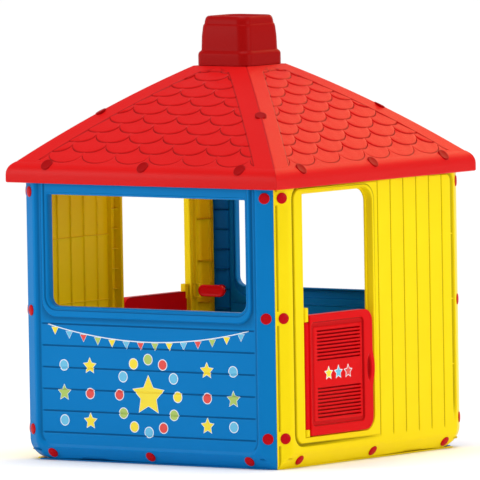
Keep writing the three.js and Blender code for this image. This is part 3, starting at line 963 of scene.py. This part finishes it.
def hip_bolt(turn, side):
    shell = Shell()
    profile = [(3, -8), (17, -8), (18.2, 0), (17.8, 1), (16, 1.8), (13, 2.2), (12.4, 1.6),
               (5, 1.5), (0.5, 1.5)]
    r = HIP_BOLT_R
    axis = Vector((1, -1, 2 / math.tan(slope_angle(r)))).normalized()
    rotation = Vector((0, 0, 1)).rotation_difference(axis).to_matrix().to_4x4()
    place = Matrix.Translation((r, -r, slope_z(r) - 1.5)) @ rotation
    loops = [[tuple(place @ Vector(p)) for p in loop] for loop in revolve(profile)]
    loft(shell, loops, cap=True)
    return shell.build("hip_bolt_" + side, BOLT_RED, "house", turn)


def chimney():
    """The chimney: a collar with a rounded shoulder, a tapered stack and a dished top."""
    shell = Shell()
    full = CHIMNEY_TOP - PLATEAU_Z
    levels = [(69.5, -14), (69.5, 0.4), (99, 0.4), (100.8, 2), (100.8, 33), (100, 38), (98, 42),
              (95, 45), (93.6, 46.8), (93.2, 50), (92.8, 66), (92, 92), (90.6, 106), (89.6, 117),
              (88.4, 124), (87.4, 126.4), (85.9, 128), (85.6, 131), (85, 137), (83.8, 143),
              (82, 148), (79.5, 151.4), (77, full - 0.3), (74.5, full - 0.6), (72.6, 149.4),
              (70, 147.4), (50, 145.8), (2, 145)]
    loops = []
    for half, height in levels:
        radius = min(34, half * 0.9)
        loop = rounded_loop((-half, half, -half, half), (radius,) * 4, 10)
        loops.append([(x, y, PLATEAU_Z + height) for x, y in loop])
    loft(shell, loops, cap=True)
    return shell.build("chimney", CHIMNEY_RED, "house", 0, ("chimney",))


# ---- printed decorations: plain shapes, laid out by formula ------------------------------------


def stamp(prints, color, outline, face, lift, rows=()):
    """A thin print that lies on a surface and dips into the grooves it crosses."""
    xs = [x for x, _ in outline]
    zs = [z for _, z in outline]
    lines = []
    for row in rows:
        for offset in (-3.2, -2.2, -1.1, 1.1, 2.2, 3.2):
            if min(zs) < row + offset < max(zs):
                lines.append([(min(xs) - 1, row + offset), (max(xs) + 1, row + offset)])
    region = triangulate(outline, [], lines)
    shell = prints.setdefault(color, Shell())
    plate(shell, region, lambda x, z: on_wall(x, face(x, z) + lift, z),
          lambda x, z: on_wall(x, face(x, z) - 0.4, z))


def bordered(prints, color, shape, face, rows=(), border=2.6):
    """A coloured shape with a white edge; shape(grow) gives its outline."""
    stamp(prints, "white", shape(border), face, 0.25, rows)
    stamp(prints, color, shape(0), face, 0.5, rows)


def disc(x, z, radius):
    def shape(grow):
        return circle(x, z, radius + grow, 28)[:-1]
    return shape


def polygon(x, z, radius, corners, start=90.0, inner=1.0):
    """A regular polygon, or a star when inner is under 1."""
    def shape(grow):
        points = []
        count = corners if inner == 1.0 else corners * 2
        for i in range(count):
            angle = math.radians(start + 360 * i / count)
            reach = (radius + grow * 1.3) * (inner if inner < 1 and i % 2 else 1)
            points.append((x + reach * math.cos(angle), z + reach * math.sin(angle)))
        return points
    return shape


def strip(points, width):
    """The outline of a thin line along points."""
    left, right = [], []
    for i, (x, z) in enumerate(points):
        x0, z0 = points[max(i - 1, 0)]
        x1, z1 = points[min(i + 1, len(points) - 1)]
        length = math.hypot(x1 - x0, z1 - z0)
        nx, nz = -(z1 - z0) / length * width / 2, (x1 - x0) / length * width / 2
        left.append((x + nx, z + nz))
        right.append((x - nx, z - nz))
    return left + right[::-1]


CYCLE = ("yellow", "cyan", "coral", "green")
FLAGS = 14
WREATH = 12
PRINT_Z = 212  # middle of the print on a window wall


def garland(prints, half, top, sag):
    """A string that hangs evenly across a wall, with evenly spaced flags."""
    def hang(x):
        return top - sag * (1 - (x / half) ** 2)

    rows = plank_rows()
    string = [(x, hang(x)) for x, _ in straight(-half, 0, half, 0, 48)]
    stamp(prints, "white", strip(string, 3), window_face, 0.3, rows)
    for i in range(FLAGS):
        x = half * ((2 * i + 1) / FLAGS - 1)
        flag = polygon(x, hang(x) - 10, 14, 3, -90)
        bordered(prints, CYCLE[i % 4], flag, window_face, rows, 1.6)


def wreath(prints, x, z, radius):
    """Plain discs, evenly spaced round one plain star."""
    rows = plank_rows()
    bordered(prints, "yellow", polygon(x, z, radius * 0.55, 5, inner=0.5), window_face, rows)
    for i in range(WREATH):
        angle = 2 * math.pi * i / WREATH
        spot = (x + radius * math.cos(angle), z + radius * math.sin(angle))
        bordered(prints, CYCLE[i % 4], disc(*spot, 15), window_face, rows)


def confetti(prints):
    """Stars and discs by turns, in even rows at both sides of the wreath."""
    rows = plank_rows()
    for sign in (-1, 1):
        for i in range(6):
            x, z = sign * (225 + 100 * (i % 2)), PRINT_Z + 85 * (i // 2 - 1)
            shape = disc(x, z, 15) if (i + i // 2) % 2 else polygon(x, z, 24, 5, inner=0.5)
            bordered(prints, CYCLE[i % 4], shape, window_face, rows)


def wall_prints(side, turn):
    prints = {}
    garland(prints, 385, 422, 45)
    wreath(prints, 0, PRINT_Z, 112)
    confetti(prints)
    for color, shell in prints.items():
        shell.build(f"print_{side}_{color}", PRINTS[color], "house", turn)


def door_prints(side, turn):
    """Three plain stars between the two groups of louvres."""
    prints = {}
    middle = (LOUVRES[0] + LOUVRES[1]) / 2
    for i in range(3):
        star = polygon(middle + 50 * (i - 1), GRIP_Z - 3, 18, 5, inner=0.5)
        bordered(prints, CYCLE[i], star, door_surface, border=4)
    for color, shell in prints.items():
        shell.build(f"print_door_{side}_{color}", PRINTS[color], "door_" + side, turn)


# ---- assembly ---------------------------------------------------------------------------------
for side, turn in SIDES:
    if side in ("front", "back"):
        window_wall("wall_" + side, turn)
        wall_prints(side, turn)
        face = window_face
    else:
        door_wall("wall_" + side, turn)
        face = door_face
    for number, (x, z) in enumerate(plug_spots(), 1):
        plug(f"screw_plug_{side}_{number}", face, x, z, turn)
    roof_panel("roof_panel_" + side, turn)
    roof_plugs(turn, side)
    hip_bolt(turn, side)
for side, turn in (("right", 90), ("left", 270)):
    door(side, turn)
    door_prints(side, turn)
    hinge_block("hinge_upper_" + side, turn, block_low[2] + 0.2, block_high[2] - 0.2)
    hinge_block("hinge_lower_" + side, turn, 93, 115)
    latch_socket("latch_socket_" + side, turn)
    latch_lever("latch_lever_" + side, "latch_" + side, turn)
chimney()

# ---- floor, light and camera ------------------------------------------------------------------


def studio_floor():
    """A wide pale sheet under the house, reaching the horizon."""
    rings = [[(r * math.cos(math.pi * i / 24), r * math.sin(math.pi * i / 24), 0)
              for i in range(48)] for r in (3, 12, 90)]
    mesh = bpy.data.meshes.new("floor")
    faces = [tuple(range(48))]
    for k in (0, 48):
        faces += [(k + i, k + 48 + i, k + 48 + (i + 1) % 48, k + (i + 1) % 48) for i in range(48)]
    mesh.from_pydata([p for ring in rings for p in ring], [], faces)
    obj = bpy.data.objects.new("floor", mesh)
    bpy.context.scene.collection.objects.link(obj)
    material = plastic("floor_paper", (0.93, 0.93, 0.93), roughness=0.8, grain=0.002, shade=0.01)
    mesh.materials.append(material)


def inside_light(name, place, radius, power):
    data = bpy.data.lights.new(name, "POINT")
    data.shadow_soft_size = radius
    data.energy = power
    stand(name, data, place, (0, 0, 0)).visible_camera = False


def area_light(name, place, size, power, target=(0, 0, 0.6), color=(1, 1, 1)):
    data = bpy.data.lights.new(name, "AREA")
    data.energy = power
    data.size = size
    data.color = color
    stand(name, data, place, target)


def sun_light(name, place, strength, angle):
    """A broad, distant soft light that lies evenly over the floor."""
    data = bpy.data.lights.new(name, "SUN")
    data.energy = strength
    data.angle = math.radians(angle)
    stand(name, data, place, (0, 0, 0.6))


def stand(name, data, place, target):
    obj = bpy.data.objects.new(name, data)
    obj.location = place
    aim = Vector(target) - Vector(place)
    obj.rotation_euler = aim.to_track_quat("-Z", "Y").to_euler()
    bpy.context.scene.collection.objects.link(obj)
    return obj


def studio():
    world = bpy.data.worlds.new("studio")
    world.use_nodes = True
    shade = world.node_tree.nodes["Background"]
    shade.inputs["Color"].default_value = (1, 1, 1, 1)
    shade.inputs["Strength"].default_value = 0.5
    bpy.context.scene.world = world
    bpy.context.scene.view_settings.view_transform = "Standard"
    sun_light("top_sun", (0, 0, 5), 1.9, 35)
    area_light("left_box", (-4.5, -5.0, 2.4), 2.2, 130)
    area_light("right_box", (6.5, 0.8, 2.2), 2.2, 120)
    area_light("back_box", (0.2, 4.5, 3.4), 2.4, 60, color=(1.0, 0.6, 0.25))
    inside_light("cabin_fill", (0, 0, 0.72), 0.25, 1.9)


CAMERA_AZIMUTH = 36.83
CAMERA_RISE = 3.78
CAMERA_ROLL = 0.93
CAMERA_RANGE = 37.7
CAMERA_LENS = 913.5
AIM = Vector((-0.0144, 0.0065, 0.6595))


def camera():
    azimuth = math.radians(CAMERA_AZIMUTH)
    rise = math.radians(CAMERA_RISE)
    back = Vector((math.sin(azimuth) * math.cos(rise), -math.cos(azimuth) * math.cos(rise),
                   math.sin(rise)))
    data = bpy.data.cameras.new("camera")
    data.lens = CAMERA_LENS
    data.clip_end = 200
    obj = bpy.data.objects.new("camera", data)
    obj.location = AIM + back * CAMERA_RANGE
    look = (-back).to_track_quat("-Z", "Y").to_matrix().to_4x4()
    roll = Matrix.Rotation(math.radians(-CAMERA_ROLL), 4, "Z")
    obj.matrix_world = Matrix.Translation(obj.location) @ look @ roll
    bpy.context.scene.collection.objects.link(obj)
    bpy.context.scene.camera = obj


studio_floor()
studio()
camera()

bpy.context.view_layer.update()
